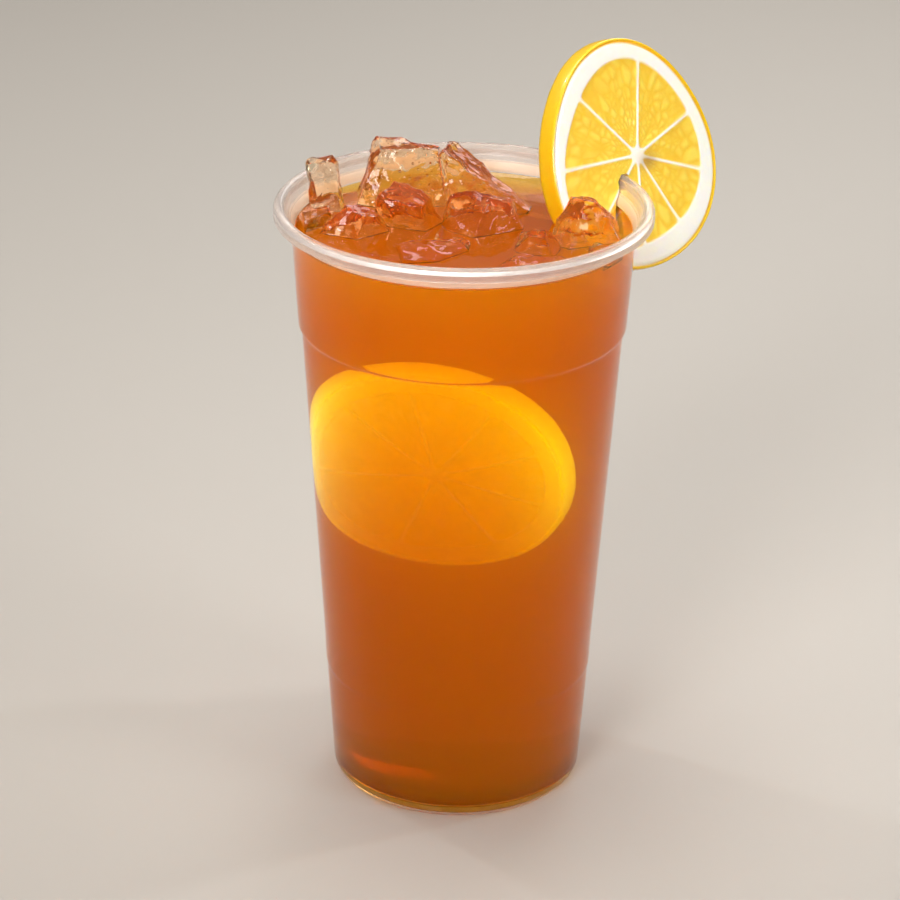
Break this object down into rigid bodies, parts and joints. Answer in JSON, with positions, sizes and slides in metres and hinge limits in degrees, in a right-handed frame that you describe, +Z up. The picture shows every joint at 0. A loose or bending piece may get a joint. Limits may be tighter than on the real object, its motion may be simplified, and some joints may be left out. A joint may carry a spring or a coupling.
{
  "type": "iced lemon tea in a clear plastic takeaway cup",
  "caption": "Tall tapered clear takeaway cup with a rolled rim, filled with cloudy amber lemon tea and chunky ice, with a lemon wheel slit onto the rim.",
  "frame": {"origin": "under the middle of the bounding box, on the surface that the cup stands on", "axes": "+Z up along the cup's axis, -Y towards the viewer of the picture, +X to the viewer's right"},
  "size_m": [0.1074, 0.0936, 0.1797],
  "materials": {
    "clear_cup": "clear, with a slightly milky rim",
    "tea": "cloudy amber liquid",
    "lemon": "wet flesh, white pith and waxy yellow peel",
    "ice": "clear wet ice"
  },
  "bodies": {
    "root": {"cup": "clear_cup", "tea": "tea", "lemon_slice": "lemon", "ice_1": "ice", "ice_2": "ice", "ice_3": "ice", "ice_4": "ice", "ice_5": "ice", "ice_6": "ice", "ice_7": "ice", "ice_8": "ice", "ice_9": "ice", "ice_10": "ice", "ice_11": "ice", "ice_12": "ice", "ice_13": "ice"}
  },
  "joints": []
}
